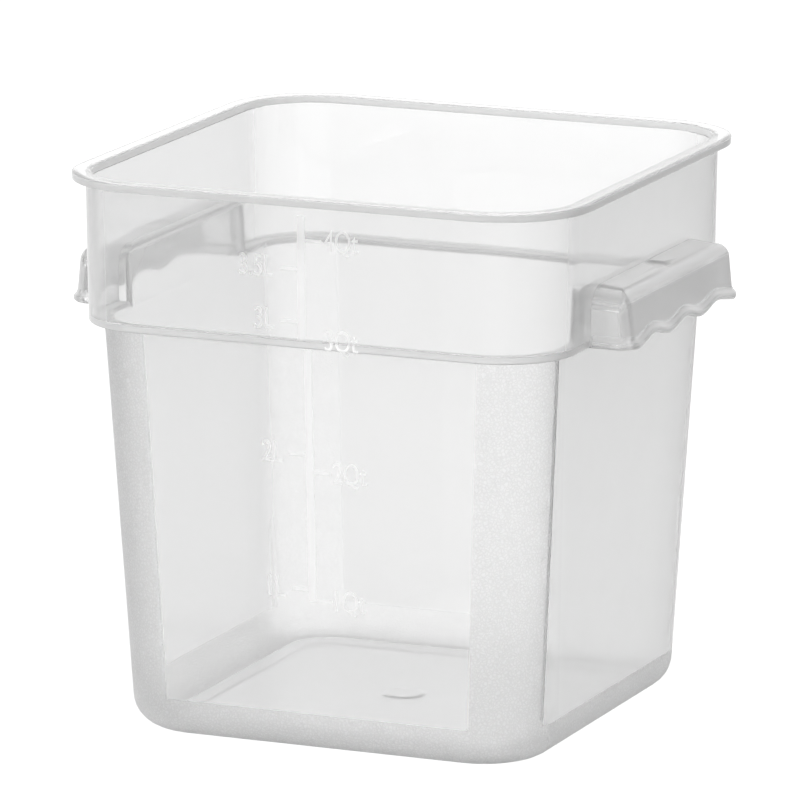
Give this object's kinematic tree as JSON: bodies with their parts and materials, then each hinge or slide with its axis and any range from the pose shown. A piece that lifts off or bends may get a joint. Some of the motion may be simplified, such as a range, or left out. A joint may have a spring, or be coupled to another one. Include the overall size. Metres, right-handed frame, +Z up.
{
  "type": "food storage container",
  "caption": "Square open-topped translucent plastic storage tub with a wide collar, lid flange, hollow side handles and a raised volume scale.",
  "frame": {"origin": "centre of the underside, on the surface that the container stands on", "axes": "+Z up, the handles on +X and -X, the volume scale on the face at -Y"},
  "size_m": [0.1996, 0.179, 0.186],
  "materials": {
    "polished_wall": "clear polished polypropylene",
    "grained_wall": "leather-grained translucent polypropylene",
    "collar": "translucent polypropylene, glossy",
    "rim": "translucent polypropylene, glossy, bright at the edge",
    "handle": "translucent polypropylene, glossy"
  },
  "bodies": {
    "root": {"base_pan": "grained_wall", "right_window": "polished_wall", "rear_window": "polished_wall", "left_window": "polished_wall", "front_window": "polished_wall", "rear_right_post": "grained_wall", "rear_left_post": "grained_wall", "front_left_post": "grained_wall", "front_right_post": "grained_wall", "collar": "collar", "rim_flange": "rim", "right_handle": "handle", "left_handle": "handle"}
  },
  "joints": []
}
